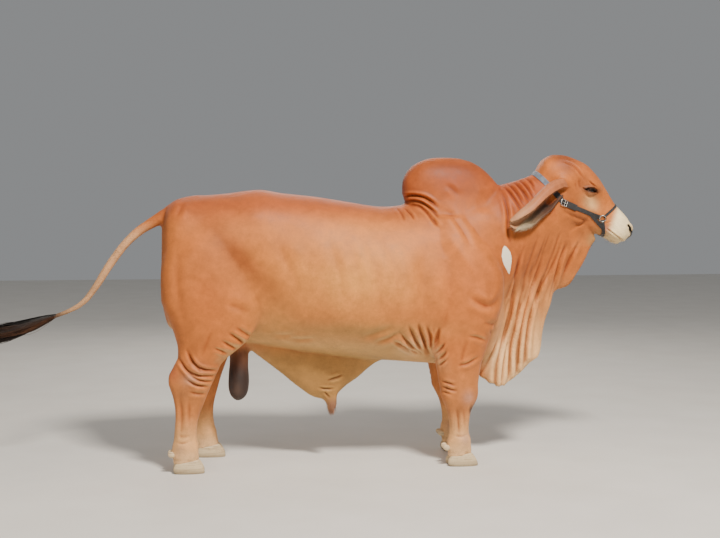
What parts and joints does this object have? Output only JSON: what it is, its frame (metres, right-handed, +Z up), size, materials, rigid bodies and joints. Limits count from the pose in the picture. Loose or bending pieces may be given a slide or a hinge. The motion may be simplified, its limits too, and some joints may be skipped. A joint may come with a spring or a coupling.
{
  "type": "brahman bull",
  "caption": "Life-size red Brahman bull standing in profile with hump, hanging dewlap, drooping ears, a plain halter and its tail swung out behind.",
  "frame": {"origin": "middle of the bounding box at floor level, between the four feet and the tips of the nose and tail", "axes": "+X towards the head along the body, +Y to the bull's left, +Z up"},
  "size_m": [3.7778, 0.6899, 1.6762],
  "materials": {
    "red_hide": "sleek short hair, satin",
    "hoof_horn": "dull horn with fine growth rings",
    "eye": "wet gloss",
    "switch_hair": "coarse black hair",
    "scrotum_skin": "dark bare skin with a soft sheen",
    "halter_webbing": "woven webbing",
    "crown_webbing": "faded woven webbing",
    "dull_steel": "dull, weathered"
  },
  "bodies": {
    "root": {"claw_foreleg_left_inner": "hoof_horn", "claw_foreleg_left_outer": "hoof_horn", "claw_foreleg_right_inner": "hoof_horn", "claw_foreleg_right_outer": "hoof_horn", "claw_hindleg_left_inner": "hoof_horn", "claw_hindleg_left_outer": "hoof_horn", "claw_hindleg_right_inner": "hoof_horn", "claw_hindleg_right_outer": "hoof_horn", "dewclaw_foreleg_left_inner": "hoof_horn", "dewclaw_foreleg_left_outer": "hoof_horn", "dewclaw_foreleg_right_inner": "hoof_horn", "dewclaw_foreleg_right_outer": "hoof_horn", "dewclaw_hindleg_left_inner": "hoof_horn", "dewclaw_hindleg_left_outer": "hoof_horn", "dewclaw_hindleg_right_inner": "hoof_horn", "dewclaw_hindleg_right_outer": "hoof_horn", "dewlap": "red_hide", "ear_left": "red_hide", "ear_right": "red_hide", "eye_left": "eye", "eye_right": "eye", "foreleg_left_lower": "red_hide", "foreleg_left_upper": "red_hide", "foreleg_right_lower": "red_hide", "foreleg_right_upper": "red_hide", "halter_buckle_left": "dull_steel", "halter_buckle_right": "dull_steel", "halter_cheek_strap_left": "halter_webbing", "halter_cheek_strap_right": "halter_webbing", "halter_chin_strap": "halter_webbing", "halter_crown_strap": "crown_webbing", "halter_noseband": "halter_webbing", "halter_ring_left": "dull_steel", "halter_ring_right": "dull_steel", "head": "red_hide", "hindleg_left_lower": "red_hide", "hindleg_left_upper": "red_hide", "hindleg_right_lower": "red_hide", "hindleg_right_upper": "red_hide", "hump": "red_hide", "neck": "red_hide", "scrotum": "scrotum_skin", "sheath": "red_hide", "tail_end": "red_hide", "tail_root": "red_hide", "tail_switch": "switch_hair", "torso": "red_hide"}
  },
  "joints": []
}
